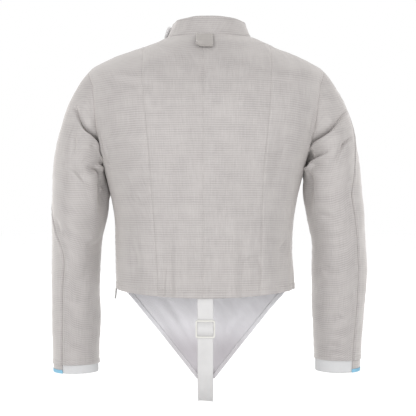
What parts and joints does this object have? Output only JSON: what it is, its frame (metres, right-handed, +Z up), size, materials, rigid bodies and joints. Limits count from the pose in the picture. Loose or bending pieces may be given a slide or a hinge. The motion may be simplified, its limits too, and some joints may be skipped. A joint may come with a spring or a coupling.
{
  "type": "sabre fencing lame jacket",
  "caption": "Waist-length sabre fencing over-jacket in ribbed metallic cloth, filled out with no wearer, with stand collar, side zip, white cuffs and a strapped groin cloth.",
  "frame": {"origin": "middle of the neck opening, level with the shoulder seams at the neck, where the wearer's shoulders hold the jacket", "axes": "+Z up, +Y towards the wearer's front, +X towards the wearer's right hand"},
  "size_m": [0.6337, 0.2456, 0.7643],
  "materials": {
    "lame": "ribbed metallic cloth, soft sheen",
    "white_cloth": "plain white cotton cloth",
    "cuff_knit": "white knitted cuff",
    "webbing": "white woven webbing",
    "blue_trim": "light blue bound edge",
    "ivory_plastic": "moulded, satin",
    "zip_tape": "woven tape",
    "zip_metal": "nickel plated"
  },
  "bodies": {
    "jacket": {"back_left": "lame", "back_right": "lame", "side_back_left": "lame", "side_back_right": "lame", "front_right": "lame", "front_left": "lame", "collar": "lame", "collar_flap": "lame", "wire_tab": "lame", "sleeve_back_left": "lame", "sleeve_front_left": "lame", "sleeve_back_right": "lame", "sleeve_front_right": "lame", "cuff_left": "cuff_knit", "cuff_right": "cuff_knit", "cuff_strip_left": "lame", "cuff_strip_right": "lame", "cuff_trim_left": "blue_trim", "cuff_trim_right": "blue_trim", "groin_cloth": "white_cloth", "groin_hem_left": "white_cloth", "groin_hem_right": "white_cloth", "strap": "webbing", "buckle": "ivory_plastic", "zip_tape": "zip_tape", "zip_chain": "zip_metal", "zip_slider": "zip_metal"},
    "pull_tab": {"zip_pull": "zip_metal"}
  },
  "joints": [
    {"name": "zip_pull_hinge", "type": "hinge", "parent": "jacket", "child": "pull_tab", "pos_m": [-0.1799, 0.0299, -0.48796], "axis": [0.2818, 0.9143, -0.2911], "range_deg": [-6, 160]}
  ]
}
